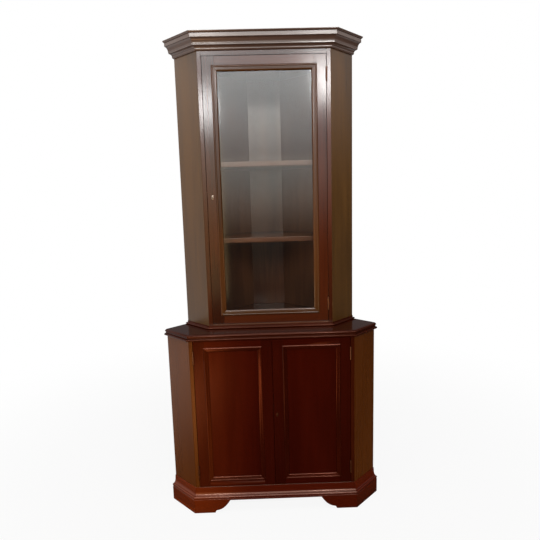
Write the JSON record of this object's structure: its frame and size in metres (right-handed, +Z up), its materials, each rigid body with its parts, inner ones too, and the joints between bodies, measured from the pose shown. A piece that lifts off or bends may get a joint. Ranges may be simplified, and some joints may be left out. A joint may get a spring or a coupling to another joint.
{
  "type": "corner cabinet",
  "caption": "Two-part corner cabinet: a glazed upper cupboard with shelves under a moulded cornice, on a wider panelled base with bracket feet; doors, locks and bolts move.",
  "frame": {"origin": "on the floor, in the middle of the bounding box", "axes": "+Z up; the front faces -Y; +X is to the right of someone facing the doors"},
  "size_m": [0.8738, 0.4646, 1.86],
  "materials": {
    "mahogany": "dark polished mahogany",
    "door_mahogany": "red polished mahogany",
    "inside_mahogany": "satin mahogany",
    "back_board": "stained board",
    "clear_glass": "clear polished",
    "aged_brass": "aged satin",
    "lock_steel": "dull"
  },
  "bodies": {
    "carcass": {"upper_side_left": "mahogany", "upper_side_right": "mahogany", "upper_stile_left": "mahogany", "upper_stile_right": "mahogany", "upper_top_rail": "mahogany", "upper_back_left": "back_board", "upper_back_right": "back_board", "upper_back_corner": "back_board", "upper_top_board": "inside_mahogany", "upper_bottom_board": "inside_mahogany", "upper_shelf_high": "inside_mahogany", "upper_shelf_low": "inside_mahogany", "cornice": "mahogany", "waist_moulding": "mahogany", "lower_top_board": "mahogany", "lower_side_left": "mahogany", "lower_side_right": "mahogany", "lower_stile_left": "mahogany", "lower_stile_right": "mahogany", "lower_back_left": "back_board", "lower_back_right": "back_board", "lower_back_corner": "back_board", "lower_bottom_board": "inside_mahogany", "lower_shelf": "inside_mahogany", "plinth_front": "mahogany", "plinth_left": "mahogany", "plinth_right": "mahogany", "rear_foot": "back_board", "upper_hinge_low_frame_leaf": "aged_brass", "upper_hinge_high_frame_leaf": "aged_brass", "lower_left_hinge_low_frame_leaf": "aged_brass", "lower_left_hinge_high_frame_leaf": "aged_brass", "lower_right_hinge_low_frame_leaf": "aged_brass", "lower_right_hinge_high_frame_leaf": "aged_brass"},
    "upper_door": {"upper_door_stile_left": "mahogany", "upper_door_stile_right": "mahogany", "upper_door_rail_top": "mahogany", "upper_door_rail_bottom": "mahogany", "upper_door_glass": "clear_glass", "upper_door_moulding": "mahogany", "upper_escutcheon": "aged_brass", "upper_lock_case": "lock_steel", "upper_hinge_low_door_leaf": "aged_brass", "upper_hinge_high_door_leaf": "aged_brass"},
    "lower_left_door": {"barrel_bolt_case": "aged_brass", "lower_left_door_frame": "door_mahogany", "lower_left_door_panel": "door_mahogany", "lower_left_door_moulding": "door_mahogany", "lower_left_hinge_low_door_leaf": "aged_brass", "lower_left_hinge_high_door_leaf": "aged_brass"},
    "lower_right_door": {"lower_escutcheon": "aged_brass", "lower_lock_case": "lock_steel", "lower_right_door_frame": "door_mahogany", "lower_right_door_panel": "door_mahogany", "lower_right_door_moulding": "door_mahogany", "lower_right_hinge_low_door_leaf": "aged_brass", "lower_right_hinge_high_door_leaf": "aged_brass"},
    "upper_lock_bolt": {"upper_lock_bolt": "aged_brass"},
    "lower_lock_bolt": {"lower_lock_bolt": "aged_brass"},
    "barrel_bolt_rod": {"barrel_bolt_rod": "aged_brass"}
  },
  "joints": [
    {"name": "upper_door_hinge", "type": "hinge", "parent": "carcass", "child": "upper_door", "pos_m": [0.2327, -0.13775, 1.2], "axis": [0, 0, 1], "range_deg": [0, 150]},
    {"name": "lower_left_door_hinge", "type": "hinge", "parent": "carcass", "child": "lower_left_door", "pos_m": [-0.3082, -0.21475, 0.4], "axis": [0, 0, -1], "range_deg": [0, 160]},
    {"name": "lower_right_door_hinge", "type": "hinge", "parent": "carcass", "child": "lower_right_door", "pos_m": [0.3082, -0.21475, 0.4], "axis": [0, 0, 1], "range_deg": [0, 160]},
    {"name": "upper_lock_bolt_slide", "type": "slide", "parent": "upper_door", "child": "upper_lock_bolt", "axis": [-1, 0, 0], "range_m": [0, 0.0065]},
    {"name": "lower_lock_bolt_slide", "type": "slide", "parent": "lower_right_door", "child": "lower_lock_bolt", "axis": [-1, 0, 0], "range_m": [0, 0.0065]},
    {"name": "barrel_bolt_slide", "type": "slide", "parent": "lower_left_door", "child": "barrel_bolt_rod", "axis": [0, 0, 1], "range_m": [0, 0.012]}
  ]
}
